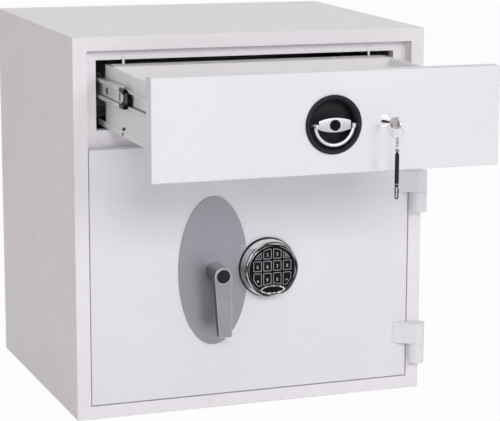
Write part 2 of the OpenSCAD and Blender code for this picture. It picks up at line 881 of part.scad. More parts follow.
// Thin oval plate round the lever
module oval_plate() {
    color("darkgray") difference() {
        oval(0);
        rod_y(lever_x, lever_z, spindle_hole_r, front_y - oval_t - 1, front_y + 1);
    }
}

// Lever: a hub on the plate, a boss in front and a tapered arm
module lever() {
    top_y = front_y - lever_off;
    arm_t = 11;
    trim = 1.5;
    hub_y = front_y - oval_t - near;
    color("silver") difference() {
        union() {
            rod_y(lever_x, lever_z, hub_r, top_y, hub_y);
            translate([lever_x, top_y + arm_t, lever_z]) rotate([90, 0, 0]) linear_extrude(arm_t) union() {
                polygon([
                    [-hub_r, 0], [hub_r, 0],
                    [hub_r, trim - lever_len], [hub_r - trim, -lever_len],
                    [hub_r - lever_foot + trim, -lever_len], [hub_r - lever_foot, trim - lever_len]
                ]);
                circle(hub_r);
            }
        }
        rod_y(lever_x, lever_z, hub_r - 2.6, top_y - 1, top_y + 2);
        rod_y(lever_x, lever_z, spindle_r + eps, top_y + 4, front_y);
    }
}

module lever_cap() {
    top_y = front_y - lever_off;
    color("black") rod_y(lever_x, lever_z, hub_r - 2.7, top_y - 0.6, top_y + 2);
}

module lever_spindle() {
    color("silver") rod_y(lever_x, lever_z, spindle_r, front_y - lever_off + 4, crank_y1);
}

// Crank on the spindle with the pin that drives the bolts
module lever_crank() {
    color("dimgray") {
        difference() {
            translate([lever_x, crank_y1, lever_z]) rotate([90, 0, 0]) linear_extrude(crank_t) union() {
                circle(r = crank_w / 2 + 2);
                translate([-crank_w / 2, -crank_r]) square([crank_w, crank_r]);
                translate([0, -crank_r]) circle(r = crank_w / 2);
            }
            rod_y(lever_x, lever_z, spindle_r + eps, crank_y1 - crank_t - 1, crank_y1 + 1);
        }
        rod_y(lever_x, lever_z - crank_r, crank_pin_r, crank_y1 - 1, bolt_y + bar_t / 2 + 1);
    }
}

// Upright bar behind the bolts with an arm to the crank
module bolt_carriage() {
    arm_x1 = lever_x + 14;
    arm_edge = 12;
    slot_w = 2 * crank_pin_r + 11;
    half = bolt_pitch + bar_w + 2;
    color("dimgray") difference() {
        union() {
            span(bar_x, bar_x + bar_w, bolt_y - bar_t / 2, bolt_y + bar_t / 2,
                door_zc - half, door_zc + half);
            span(bar_x, arm_x1, bolt_y - bar_t / 2, bolt_y + bar_t / 2,
                lever_z - crank_r - arm_edge, lever_z + arm_edge);
        }
        span(lever_x - slot_w / 2, lever_x + slot_w / 2, bolt_y - bar_t, bolt_y + bar_t,
            lever_z - crank_r - crank_pin_r - 2, lever_z + crank_pin_r + 2);
        for (z = bolt_zs) rod_x(bolt_y, z, tail_r + snug, bar_x - 1, bar_x + bar_w + tail_over + 1);
    }
}

// Bolts with a turned-down tail through the bar
module bolts() {
    color("silver") for (z = bolt_zs) {
        rod_x(bolt_y, z, bolt_r, bolt_end_x + 1, bar_x);
        rod_x(bolt_y, z, bolt_r - 1, bolt_end_x, bar_x);
        rod_x(bolt_y, z, tail_r, bar_x - 1, bar_x + bar_w + tail_over);
    }
}

// Electronic lock inside the boltwork's case
module lock_unit() {
    color("dimgray") span(unit_x, unit_x + unit_w, front_back_y, front_back_y + unit_d,
        pad_z - unit_h / 2, pad_z + unit_h / 2);
}

// Places a shape drawn in the keypad's plane, off the door by the given height
module at_pad(h) {
    translate([pad_x, front_y - h, pad_z]) rotate([90, 0, 0]) children();
}

// Keypad foot with a boss that fills the bezel, recessed over the oval plate
module pad_base() {
    boss = pad_off - face_drop - face_t;
    color("black") difference() {
        at_pad(0) rotate_extrude() polygon([
            [0, 0], [pad_r, 0], [pad_r, foot_h - 1.5], [pad_r - 1.5, foot_h],
            [bezel_r0 - snug, foot_h], [bezel_r0 - snug, boss], [0, boss]
        ]);
        rod_y(pad_x, pad_z, cable_hole_r, front_y - pad_off, front_y + 1);
        oval(snug);
    }
}

// Bright skirt and ring round the keypad's face
module pad_bezel() {
    color("silver") at_pad(0) rotate_extrude() polygon([
        [bezel_r0, foot_h], [bezel_r1 + 1.4, foot_h], [bezel_r1 + 1.4, foot_h + 1.5],
        [bezel_r1, pad_off - 4], [bezel_r1 - 1, pad_off - 1.2], [bezel_r1 - 2.6, pad_off],
        [bezel_r0 + 1.6, pad_off], [bezel_r0, pad_off - 1.6]
    ]);
}

// Two arcs that meet in points at left and right
module lens(w, h) {
    r = (w * w / 4 + h * h / 4) / h;
    intersection() {
        translate([0, r - h / 2]) circle(r = r, $fn = 96);
        translate([0, h / 2 - r]) circle(r = r, $fn = 96);
    }
}

// Outline of one key; keys count from the top left, four to a row
module key_outline(k, grow) {
    low = k > 7 ? 4 : 0;
    difference() {
        intersection() {
            circle(r = key_area_r + grow);
            translate([(k % 4 - 1.5) * key_pitch_x, key_row_z - floor(k / 4) * key_pitch_z - low / 2])
                round_rect(key_w + 2 * grow, key_tall + low + 2 * grow, key_round + grow);
        }
        translate([0, badge_z]) lens(badge_w + 6 - 4 * grow, badge_h + 3 - 2 * grow);
    }
}

// Sunk plate with a pocket for each key
module pad_face() {
    color("black") difference() {
        at_pad(pad_off - face_drop - face_t) cylinder(r = bezel_r0 - snug, h = face_t);
        at_pad(pad_off - face_drop - key_floor)
            for (k = [0:11]) linear_extrude(key_floor + 1) key_outline(k, near);
    }
}

// Key k, standing clear of the floor of its pocket by its travel
module pad_key(k) {
    color("black") at_pad(pad_off - face_drop - key_floor + key_travel)
        linear_extrude(key_h) key_outline(k, 0);
}

// Lens-shaped plate at the foot of the face with a bare oval sunk in it
module pad_badge() {
    over = 0.8;
    bare_w = 31;
    color("silver") difference() {
        union() {
            at_pad(pad_off) translate([0, badge_z]) linear_extrude(over) lens(badge_w, badge_h);
            at_pad(pad_off - face_drop) linear_extrude(face_drop + eps) intersection() {
                translate([0, badge_z]) lens(badge_w, badge_h);
                circle(r = bezel_r0 - snug);
            }
        }
        at_pad(pad_off + over - 0.5) translate([0, badge_z + 0.4]) linear_extrude(1)
            scale([1, 0.28]) circle(d = bare_w);
    }
}

casing();
back_panel();
barrier_fill();
liner();
front_frame();
shelf();
slide_brackets();
slide_outer();
lip_stops();
hinge_knuckles();
hinge_pins();
slide_mid();
slide_bumpers();
drawer_front();
drawer_backing();
tray();
tray_floor();
tray_rear_wall();
slide_inner();
pull_cup();
pull_plate();
pull_disc();
lock_barrel();
pull_bail();
lock_plug();
lock_cam();
drawer_key();
key_ring();
ring_links();
key_tag();
door_pan();
door_core();
works_case();
hinge_leaves();
dog_bolts();
oval_plate();
pad_base();
pad_bezel();
pad_face();
pad_badge();
lock_unit();
lever();
lever_cap();
lever_spindle();
lever_crank();
bolt_carriage();
bolts();
pad_key(0);  // key_1
pad_key(1);  // key_2
pad_key(2);  // key_3
pad_key(3);  // key_4
pad_key(4);  // key_5
pad_key(5);  // key_6
pad_key(6);  // key_7
pad_key(7);  // key_8
pad_key(8);  // key_9
pad_key(9);  // key_10
pad_key(10);  // key_11
pad_key(11);  // key_12
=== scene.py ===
import bpy
import bmesh
import json
import math
from mathutils import Matrix, Vector


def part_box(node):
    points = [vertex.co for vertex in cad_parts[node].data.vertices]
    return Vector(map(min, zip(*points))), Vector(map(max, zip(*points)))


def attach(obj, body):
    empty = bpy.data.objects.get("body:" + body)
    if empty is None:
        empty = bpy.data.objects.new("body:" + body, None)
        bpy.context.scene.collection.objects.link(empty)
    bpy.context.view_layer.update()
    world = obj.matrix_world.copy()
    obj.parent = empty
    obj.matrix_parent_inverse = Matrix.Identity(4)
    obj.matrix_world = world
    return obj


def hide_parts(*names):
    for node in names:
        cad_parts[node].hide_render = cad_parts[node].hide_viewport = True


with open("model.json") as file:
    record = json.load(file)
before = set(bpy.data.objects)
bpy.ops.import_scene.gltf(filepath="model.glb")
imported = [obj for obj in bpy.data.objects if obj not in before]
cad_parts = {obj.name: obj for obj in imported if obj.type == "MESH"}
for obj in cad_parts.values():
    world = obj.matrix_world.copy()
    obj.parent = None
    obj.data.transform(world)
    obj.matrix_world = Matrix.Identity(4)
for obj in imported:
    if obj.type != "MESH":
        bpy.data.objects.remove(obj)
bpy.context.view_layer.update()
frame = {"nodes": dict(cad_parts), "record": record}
scene = bpy.context.scene
scene.view_settings.view_transform = "Standard"

# Camera, fitted to the photograph's straight edges. The fit's y starts at the case's front.
PX_W, PX_H = 500, 421
FOCAL_PX = 2079.6
CENTRE_PX = (381.16, 250.91)
YAW, PITCH, ROLL = math.radians(23.506), math.radians(12.026), math.radians(0.920)
CASE_FRONT_Y = -0.205
CAM_AT = Vector((-0.94924, -2.61909 + CASE_FRONT_Y, 0.81147))
SENSOR_MM = 36
ahead = Vector((math.sin(YAW), math.cos(YAW), 0))
right = Vector((math.cos(YAW), -math.sin(YAW), 0))
up = Vector((0, 0, 1))
look = ahead * math.cos(PITCH) - up * math.sin(PITCH)
tilted_up = up * math.cos(PITCH) + ahead * math.sin(PITCH)
cam_x = right * math.cos(ROLL) + tilted_up * math.sin(ROLL)
cam_y = tilted_up * math.cos(ROLL) - right * math.sin(ROLL)
cam_data = bpy.data.cameras.new("camera")
cam = bpy.data.objects.new("camera", cam_data)
scene.collection.objects.link(cam)
turned = Matrix((cam_x, cam_y, -look)).transposed()
cam.matrix_world = Matrix.Translation(CAM_AT) @ turned.to_4x4()
cam_data.sensor_width = SENSOR_MM
cam_data.lens = FOCAL_PX / PX_W * SENSOR_MM
cam_data.shift_x = (PX_W / 2 - CENTRE_PX[0]) / PX_W
cam_data.shift_y = (CENTRE_PX[1] - PX_H / 2) / PX_W
scene.camera = cam


# Materials
def add_node(nt, kind, *slots, operation=None, **named):
    """Adds a shader node. Each input is a constant or the output socket that feeds it."""
    n = nt.nodes.new("ShaderNode" + kind)
    if operation:
        n.operation = operation
    inputs = list(enumerate(slots)) + [(key.replace("_", " "), v) for key, v in named.items()]
    for key, value in inputs:
        if isinstance(value, bpy.types.NodeSocket):
            nt.links.new(value, n.inputs[key])
        else:
            n.inputs[key].default_value = value
    return n


class Mat:
    """A node material with helpers for procedural detail. Its noise scales are per metre."""

    def __init__(self, name, color, rough, metallic=0.0, spec=0.5):
        self.m = bpy.data.materials.new(name)
        self.m.use_nodes = True
        self.nt = self.m.node_tree
        self.surface = self.nt.nodes["Principled BSDF"].inputs
        self.surface["Base Color"].default_value = (*color, 1)
        self.surface["Roughness"].default_value = rough
        self.surface["Metallic"].default_value = metallic
        self.surface["Specular IOR Level"].default_value = spec
        coords = self.add("TexCoord").outputs
        self.coord, self.normal = coords["Object"], coords["Normal"]
        self.relief = None

    def add(self, kind, *slots, operation=None, **named):
        return add_node(self.nt, kind, *slots, operation=operation, **named)

    def link(self, a, b):
        self.nt.links.new(a, b)

    def noise(self, scale, detail=2.0, stretch=None, offset=0.0):
        """Noise, stretched along the axes with a low stretch. Offset keeps two noises apart."""
        moved = self.add("Mapping", Vector=self.coord, Scale=stretch or (1, 1, 1),
                         Location=(offset, offset * 0.7, offset * 1.3)).outputs["Vector"]
        return self.add("TexNoise", Vector=moved, Scale=scale, Detail=detail).outputs["Fac"]

    def ramp(self, fac, lo, hi, a=0.3, b=0.7):
        """Spreads fac's range a to b over lo to hi."""
        return self.add("MapRange", Value=fac, From_Min=a, From_Max=b,
                        To_Min=lo, To_Max=hi).outputs["Result"]

    def mix_color(self, fac, a, b, blend="MIX"):
        n = self.add("Mix")
        n.data_type, n.blend_type = "RGBA", blend
        self.link(fac, n.inputs["Factor"])
        for socket, color in zip(n.inputs[6:8], (a, b)):
            if isinstance(color, tuple):
                socket.default_value = (*color, 1)
            else:
                self.link(color, socket)
        return n.outputs[2]

    def paint_side_light(self, color, factor):
        """Paints light and shade on the faces that look to either side, by multiplying their
        colour.
        """
        across = self.add("SeparateXYZ", self.normal).outputs["X"]
        sideways = self.add("Math", across, operation="ABSOLUTE").outputs[0]
        return self.mix_color(self.ramp(sideways, 0, 1, 0.35, 0.8), color, factor, "MULTIPLY")

    def set_color(self, out):
        self.link(out, self.surface["Base Color"])

    def set_rough(self, out):
        self.link(out, self.surface["Roughness"])

    def bump(self, height, strength, distance):
        n = self.add("Bump", Strength=strength, Distance=distance, Height=height)
        if self.relief is not None:
            self.link(self.relief, n.inputs["Normal"])
        self.relief = n.outputs["Normal"]
        self.link(self.relief, self.surface["Normal"])


def shade(color, k):
    return tuple(min(1.0, v * k) for v in color)


def paint(name, color, rough=0.44, grime=0.05, painted_side_light=None):
    """Powder coat: fine orange peel, slight cloudiness, a little handling grime."""
    m = Mat(name, color, rough, spec=0.35)
    cloud = m.ramp(m.noise(6, 3), 0, 1)
    speck = m.ramp(m.noise(260, 2, offset=3), 0, 1, 0.62, 0.75)
    clouded = m.mix_color(cloud, shade(color, 0.98), shade(color, 1.012))
    tone = m.mix_color(speck, clouded, shade(color, 1 - grime))
    # A side tint, where given, is painted light and shade on the faces that look to either side.
    m.set_color(m.paint_side_light(tone, painted_side_light) if painted_side_light else tone)
    m.set_rough(m.ramp(m.noise(35, 3, offset=8), rough - 0.06, rough + 0.08))
    m.bump(m.noise(900, 2, offset=1), 0.10, 0.0006)
    m.bump(m.noise(150, 2, offset=5), 0.06, 0.002)
    return m.m


def metal(name, color, rough, brush=None, scale=500, wear=0.12, painted_side_light=None):
    """Plated or brushed metal. Brush is the stretch of its grain along each axis."""
    m = Mat(name, color, rough, 1.0)
    grain = m.noise(scale, 3, stretch=brush)
    blot = m.noise(22, 3, offset=4)
    blotted = m.mix_color(m.ramp(blot, 0, 1), shade(color, 1 - wear), shade(color, 1.04))
    tone = m.mix_color(m.ramp(grain, 0, 1), blotted, shade(color, 1 - wear * 0.6))
    # A side tint, where given, is painted light and shade on the faces that look to either side.
    m.set_color(m.paint_side_light(tone, painted_side_light) if painted_side_light else tone)
    m.set_rough(m.ramp(blot, rough - 0.04, rough + 0.1))
    m.bump(grain, 0.12 if brush else 0.05, 0.0002)
    return m.m


def plastic(name, color, rough, grain=0.10, scale=1500, spec=0.2):
    m = Mat(name, color, rough, spec=spec)
    cloud = m.ramp(m.noise(30, 3), 0, 1)
    m.set_color(m.mix_color(cloud, shade(color, 0.8), shade(color, 1.3)))
    m.set_rough(m.ramp(m.noise(60, 3, offset=2), rough - 0.07, rough + 0.09))
    m.bump(m.noise(scale, 2, offset=6), grain, 0.0004)
    return m.m


def chrome_ring(name, cx, cz, dark, light, painted_side_lift, rows=420.0):
    """Chrome turned about an axis along y, with painted reflections: dark and bright streaks
    follow the turning, and faces that look to the front are painted darker.
    """
    m = Mat(name, (0.5, 0.5, 0.5), 0.12, 1.0)
    off = m.add("VectorMath", m.coord, (cx, 0, cz), operation="SUBTRACT").outputs[0]
    flat = m.add("VectorMath", off, (1, 0, 1), operation="MULTIPLY").outputs[0]
    heading = m.add("VectorMath", flat, operation="NORMALIZE").outputs[0]
    radius = m.add("VectorMath", flat, operation="LENGTH").outputs["Value"]
    row = m.add("Math", radius, rows, operation="MULTIPLY").outputs[0]
    row = m.add("CombineXYZ", Y=row).outputs[0]
    at = m.add("VectorMath", heading, row, operation="ADD").outputs[0]
    reflection_streak = m.add("TexNoise", Vector=at, Scale=1.7, Detail=1.0).outputs["Fac"]
    facing = m.add("SeparateXYZ", m.normal).outputs["Y"]
    lift = m.add("Math", facing, painted_side_lift, painted_side_lift, operation="MULTIPLY_ADD").outputs[0]
    total = m.add("Math", reflection_streak, lift, operation="ADD").outputs[0]
    m.set_color(m.mix_color(m.ramp(total, 0, 1, 0.51, 0.71), dark, light))
    m.set_rough(m.ramp(m.noise(400, 2), 0.08, 0.20))
    m.bump(m.noise(1800, 2), 0.03, 0.0001)
    return m.m


MATS = {
    "body_paint": paint("body_paint", (0.87, 0.85, 0.86)),
    "front_paint": paint("front_paint", (0.845, 0.83, 0.875), 0.40),
    "inner_paint": paint("inner_paint", (0.60, 0.60, 0.61), 0.5, 0.10),
    "barrier": plastic("barrier", (0.52, 0.51, 0.49), 0.85, 0.6, 300),
    "slide_zinc": metal("slide_zinc", (0.70, 0.71, 0.705), 0.42, (1, 0.06, 1), 700, 0.28),
    "satin_silver": metal("satin_silver", (0.56, 0.56, 0.59), 0.36, None, 1400, 0.06),
    "bright_chrome": metal("bright_chrome", (0.50, 0.50, 0.50), 0.10, None, 700, 0.25),
    "oval_grey": metal("oval_grey", (0.312, 0.302, 0.340), 0.42, (1, 1, 0.04), 1200, 0.05),
    "black_plastic": plastic("black_plastic", (0.012, 0.011, 0.015), 0.42),
    "gloss_black": plastic("gloss_black", (0.003, 0.003, 0.0035), 0.18, 0.03, spec=0.1),
    "key_black": plastic("key_black", (0.004, 0.004, 0.005), 0.34, 0.08, spec=0.12),
    "dark_steel": metal("dark_steel", (0.22, 0.22, 0.23), 0.42, (1, 1, 1), 500),
    "bolt_steel": metal("bolt_steel", (0.60, 0.60, 0.61), 0.22, (0.05, 1, 1), 900),
    "tag_dark": plastic("tag_dark", (0.020, 0.015, 0.014), 0.42, 0.3, 700, 0.15),
}

# The same finishes in other tones for single pieces. Several are lit or shaded copies, which are
# painted light or shade.
# The case's side faces get a painted warm light: redder and less blue than its front.
CASE_PAINT = paint("case_paint", (0.885, 0.855, 0.89), painted_side_light=(1.02, 0.985, 0.96))
# The front frame: a lighter copy of the white paint, painted light for the shade of the recess.
FRAME_LIT_PAINT = paint("frame_lit_paint", (0.93, 0.905, 0.94))
# The tray: a lighter copy of the white paint, painted light on walls in the shade of the drawer
# front and case.
TRAY_LIT_PAINT = paint("tray_lit_paint", (0.93, 0.92, 0.925))
# The drawer front: a darker copy of the front paint, painted shade, as it stands nearer the lamps
# than the door.
DRAWER_SHADED_PAINT = paint("drawer_shaded_paint", (0.805, 0.795, 0.835), 0.40)
SLIDE_SHADE = metal("slide_shade", (0.13, 0.13, 0.135), 0.45, (1, 0.05, 1), 900, 0.16)
# The lever's side faces are painted darker: painted shade.
LEVER = metal("lever_satin", (0.325, 0.32, 0.345), 0.34, (1, 1, 0.05), 1500, 0.05,
              painted_side_light=(0.50, 0.50, 0.505))
# Painted highlight: a lighter satin for the lever's bevelled edges and the bright lines along
# them.
LEVER_EDGE_HIGHLIGHT = metal("lever_edge_highlight", (0.52, 0.52, 0.545), 0.30, None, 1500, 0.05)
BAIL = metal("bail_satin", (0.66, 0.655, 0.69), 0.34, None, 1200, 0.06)
KEY_NICKEL = metal("key_nickel", (0.72, 0.66, 0.65), 0.30, (1, 0.1, 1), 900, 0.2)
WIRE = metal("wire_nickel", (0.66, 0.66, 0.68), 0.25, None, 900, 0.2)
LINK_DARK = metal("link_dark", (0.30, 0.29, 0.30), 0.30, None, 900, 0.2)
LOCK_NICKEL = metal("lock_nickel", (0.90, 0.89, 0.91), 0.40, None, 900, 0.08)
LINE_GREY = plastic("line_grey", (0.30, 0.30, 0.33), 0.45, 0.05, spec=0.3)
DIGIT_WHITE = plastic("digit_white", (0.52, 0.52, 0.54), 0.5, 0.05, spec=0.3)

# Chrome of the keypad with painted reflections, turned about the keypad's own centre and its
# badge's
pad_lo, pad_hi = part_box("pad_base")
PAD_X, PAD_Z = (pad_lo.x + pad_hi.x) / 2, (pad_lo.z + pad_hi.z) / 2
LENS_DROP = 0.027
RING_CHROME = chrome_ring("ring_chrome", PAD_X, PAD_Z,
                          (0.04, 0.04, 0.042), (0.86, 0.86, 0.84), 0.24)
# The lip's chrome: darker painted reflections than the ring's.
LIP_CHROME = chrome_ring("lip_chrome", PAD_X, PAD_Z,
                         (0.02, 0.02, 0.022), (0.42, 0.42, 0.41), 0.0)
LENS_CHROME = chrome_ring("lens_chrome", PAD_X, PAD_Z - LENS_DROP,
                          (0.20, 0.20, 0.20), (0.92, 0.92, 0.90), 0.10, 150.0)

# Nodes with other materials than their slot's. The second one is for the bevelled edges; the
# lever's is a painted highlight.
OWN = {
    "casing": [CASE_PAINT], "front_frame": [FRAME_LIT_PAINT], "tray": [TRAY_LIT_PAINT],
    "drawer_front": [DRAWER_SHADED_PAINT], "slide_outer": [SLIDE_SHADE], "slide_brackets": [SLIDE_SHADE],
    "lever": [LEVER, LEVER_EDGE_HIGHLIGHT], "pull_bail": [BAIL], "pad_bezel": [RING_CHROME],
    "pad_badge": [LENS_CHROME, BAIL], "lock_barrel": [LOCK_NICKEL], "lock_plug": [LOCK_NICKEL],
}
for sub in frame["record"]["subparts"]:
    obj = frame["nodes"][sub["node"]]
    obj.data.materials.clear()
    for m in OWN.get(sub["node"], [MATS[sub["material_slot"]]]):
        obj.data.materials.append(m)


# Edges: sharp edges get a small radius, as folded or cast pieces have
def soften(obj, width, segments=2, edge_material=-1):
    weld = obj.modifiers.new("weld", "WELD")
    weld.merge_threshold = 0.000005
    bevel = obj.modifiers.new("bevel", "BEVEL")
    bevel.width = width
    bevel.segments = segments
    bevel.limit_method = "ANGLE"
    bevel.angle_limit = math.radians(35)
    bevel.material = edge_material
    normals = obj.modifiers.new("normals", "WEIGHTED_NORMAL")
    normals.keep_sharp = True


EDGES = {
    0.0007: ("lever",),
    0.0006: ("casing", "works_case"),
    0.0005: ("front_frame", "drawer_front", "door_pan", "hinge_leaves", "hinge_knuckles",
             "pull_cup"),
    0.0004: ("oval_plate", "back_panel"),
    0.00035: ("tray", "tray_rear_wall", "pad_badge"),
    0.0003: ("tray_floor", "lip_stops", "pad_bezel"),
}
for width, nodes in EDGES.items():
    for node in nodes:
        two_tone = len(OWN.get(node, [])) > 1
        soften(frame["nodes"][node], width, edge_material=1 if two_tone else -1)


# Outlines and meshes
SIDES = ((-1, "left"), (1, "right"))


def circle(n):
    """Cosine and sine of n equal steps round a circle."""
    return [(math.cos(2 * math.pi * i / n), math.sin(2 * math.pi * i / n)) for i in range(n)]


def ellipse(cx, cz, rx, rz, n=48):
    return [(cx + rx * c, cz + rz * s) for c, s in circle(n)]


def rounded(cx, cz, w, h, rad, n=6):
    """Rectangle about a centre, with n steps round each corner."""
    out = []
    for sx, sz, start in ((1, 1, 0), (-1, 1, 90), (-1, -1, 180), (1, -1, 270)):
        for i in range(n + 1):
            a = math.radians(start + 90 * i / n)
            out.append((cx + sx * (w / 2 - rad) + rad * math.cos(a),
                        cz + sz * (h / 2 - rad) + rad * math.sin(a)))
    return out


def inset(loop, d):
    """Moves an anticlockwise outline inwards by d, with mitred corners that can't run far."""
    out = []
    for i, p in enumerate(loop):
        before, here, after = Vector(loop[i - 1]), Vector(p), Vector(loop[(i + 1) % len(loop)])
        a, b = (here - before).normalized(), (after - here).normalized()
        mitre = Vector((-a.y, a.x)) + Vector((-b.y, b.x))
        q = here + mitre / max(1 + a.dot(b), 0.35) * d
        out.append((q.x, q.y))
    return out


def front_loop(node):
    """Outline, anticlockwise in x and z, of a node's foremost flat face, and the face's y."""
    me = frame["nodes"][node].data
    front_y = min(v.co.y for v in me.vertices)
    flat = {v.index: (round(v.co.x, 7), round(v.co.z, 7))
            for v in me.vertices if v.co.y < front_y + 1e-6}
    uses = {}
    for face in me.polygons:
        if all(i in flat for i in face.vertices):
            corners = [flat[i] for i in face.vertices]
            for edge in zip(corners, corners[1:] + corners[:1]):
                uses[min(edge), max(edge)] = uses.get((min(edge), max(edge)), 0) + 1
    near = {}
    for (a, b), n in uses.items():
        if n == 1:
            near.setdefault(a, []).append(b)
            near.setdefault(b, []).append(a)
    start = min(near)
    loop, last, here = [start], None, start
    while True:
        step = next(q for q in near[here] if q != last)
        if step == start:
            break
        loop.append(step)
        last, here = here, step
    if sum(a[0] * b[1] - b[0] * a[1] for a, b in zip(loop, loop[1:] + loop[:1])) < 0:
        loop.reverse()
    clean = loop[:1]
    for p in loop[1:]:
        if (Vector(p) - Vector(clean[-1])).length > 0.00012:
            clean.append(p)
    return clean, front_y


def lifted(loop, depth, axis):
    """A 2-D outline in space, at a depth along one axis."""
    return [{"x": (depth, a, b), "y": (a, depth, b), "z": (a, b, depth)}[axis] for a, b in loop]


def stacked(rings, first_cap=False, last_cap=True, wrap=False):
    """Faces through rings of as many points each, one ring after the other."""
    n = len(rings[0])
    faces = []
    for k in range(len(rings) - (0 if wrap else 1)):
        here, there = k * n, (k + 1) % len(rings) * n
        faces += [(here + i, here + (i + 1) % n, there + (i + 1) % n, there + i)
                  for i in range(n)]
    if first_cap:
        faces.append(tuple(range(n)))
    if last_cap:
        faces.append(tuple(range(n * len(rings) - 1, n * (len(rings) - 1) - 1, -1)))
    return [p for ring in rings for p in ring], faces


def prism(loop, depth_a, depth_b, axis):
    """Closed prism: an outline carried from depth_a to depth_b along one axis."""
    return stacked([lifted(loop, depth_a, axis), lifted(loop, depth_b, axis)], first_cap=True)


def ring_band(outer, inner, depth_a, depth_b, axis):
    """Closed band between two outlines with as many points."""
    rings = [lifted(outer, depth_a, axis), lifted(outer, depth_b, axis),
             lifted(inner, depth_b, axis), lifted(inner, depth_a, axis)]
    return stacked(rings, last_cap=False, wrap=True)


def joined(parts):
    verts, faces = [], []
    for part_verts, part_faces in parts:
        k = len(verts)
        verts += part_verts
        faces += [tuple(i + k for i in face) for face in part_faces]
    return verts, faces


# Pieces
def place(obj, mat, body):
    obj.data.materials.clear()
    obj.data.materials.append(mat)
    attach(obj, body)
    return obj


def mesh_piece(name, shape, mat, body, bevel=0.0, segments=2):
    """Piece from a shape, which is a pair of vertices and faces."""
    me = bpy.data.meshes.new(name)
    me.from_pydata([tuple(v) for v in shape[0]], [], shape[1])
    bm = bmesh.new()
    bm.from_mesh(me)
    bmesh.ops.remove_doubles(bm, verts=bm.verts, dist=1e-7)
    bmesh.ops.recalc_face_normals(bm, faces=bm.faces)
    for f in bm.faces:
        f.smooth = True
    bm.to_mesh(me)
    bm.free()
    obj = bpy.data.objects.new(name, me)
    scene.collection.objects.link(obj)
    if bevel > 0:
        soften(obj, bevel, segments)
    return place(obj, mat, body)


def wire_piece(name, points, radius, mat, body, cyclic=False):
    cu = bpy.data.curves.new(name, "CURVE")
    cu.dimensions = "3D"
    cu.bevel_depth = radius
    cu.bevel_resolution = 3
    cu.use_fill_caps = True
    line = cu.splines.new("POLY")
    line.points.add(len(points) - 1)
    for p, co in zip(line.points, points):
        p.co = (*co, 1)
    line.use_cyclic_u = cyclic
    line.use_smooth = True
    obj = bpy.data.objects.new(name, cu)
    scene.collection.objects.link(obj)
    return place(obj, mat, body)


# Keypad: a raised line round each key, and on its face a digit or a plain triangle
KEY_FACES = ["1", "2", "3", "4", "5", "6", "7", "8", "triangle", "9", "0", "triangle"]
LINE_IN, LINE_WIDTH, LINE_HEIGHT = 0.00025, 0.0010, 0.0003
DIGIT_SIZE, DIGIT_THICK, DIGIT_NARROW = 0.0063, 0.00015, 0.85
FACE_DROP = 0.0012
CORNER_SHIFT = {1: (0.0012, -0.0008), 4: (-0.0012, -0.0008),
                9: (0.0006, -0.0002), 12: (-0.0006, -0.0002)}
MARK_HALF = 0.0016
SUNK = 0.0001


def digit_mesh(text, at):
    """Mesh of one raised character that faces -y."""
    cu = bpy.data.curves.new("digit", "FONT")
    cu.body = text
    cu.align_x = "CENTER"
    cu.align_y = "CENTER"
    cu.size = DIGIT_SIZE
    cu.extrude = DIGIT_THICK
    cu.offset = 0.0001
    tmp = bpy.data.objects.new("digit", cu)
    scene.collection.objects.link(tmp)
    upright = Matrix.Rotation(math.pi / 2, 4, "X") @ Matrix.Diagonal((DIGIT_NARROW, 1, 1, 1))
    tmp.matrix_world = Matrix.Translation(at) @ upright
    bpy.context.view_layer.update()
    me = bpy.data.meshes.new_from_object(
        tmp.evaluated_get(bpy.context.evaluated_depsgraph_get()))
    me.transform(tmp.matrix_world)
    bpy.data.objects.remove(tmp)
    return me


for number, text in enumerate(KEY_FACES, 1):
    body = "button_%d" % number
    loop, top_y = front_loop("key_%d" % number)
    band = ring_band(inset(loop, LINE_IN), inset(loop, LINE_IN + LINE_WIDTH),
                     top_y - LINE_HEIGHT, top_y + SUNK, "y")
    mesh_piece("key_line_%d" % number, band, LINE_GREY, body, 0.0001)
    xs, zs = zip(*loop)
    shift_x, shift_z = CORNER_SHIFT.get(number, (0, 0))
    cx = (min(xs) + max(xs)) / 2 + shift_x
    cz = (min(zs) + max(zs)) / 2 - FACE_DROP + shift_z
    if text == "triangle":
        triangle = [(cx - MARK_HALF, cz - MARK_HALF * 0.8), (cx + MARK_HALF, cz - MARK_HALF * 0.8),
                    (cx, cz + MARK_HALF)]
        mesh_piece("key_mark_%d" % number, prism(triangle, top_y - 0.0002, top_y + SUNK, "y"),
                   DIGIT_WHITE, body, 0.00006)
    else:
        obj = bpy.data.objects.new("key_digit_%d" % number,
                                   digit_mesh(text, (cx, top_y - SUNK, cz)))
        scene.collection.objects.link(obj)
        place(obj, DIGIT_WHITE, body)

# Keypad: a rolled lip round the ring's front, and a bare domed oval on the badge
LIP_RADIUS, LIP_HALF_WIDE, LIP_HALF_DEEP = 0.0343, 0.0013, 0.0012
LIP_BACK = 0.0002
bez_lo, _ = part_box("pad_bezel")
lip_y = bez_lo.y + LIP_BACK
rings = [[(PAD_X + (LIP_RADIUS + LIP_HALF_WIDE * out) * c, lip_y + LIP_HALF_DEEP * deep,
           PAD_Z + (LIP_RADIUS + LIP_HALF_WIDE * out) * s) for out, deep in circle(10)]
         for c, s in circle(96)]
mesh_piece("bezel_lip", stacked(rings, last_cap=False, wrap=True), LIP_CHROME, "door")

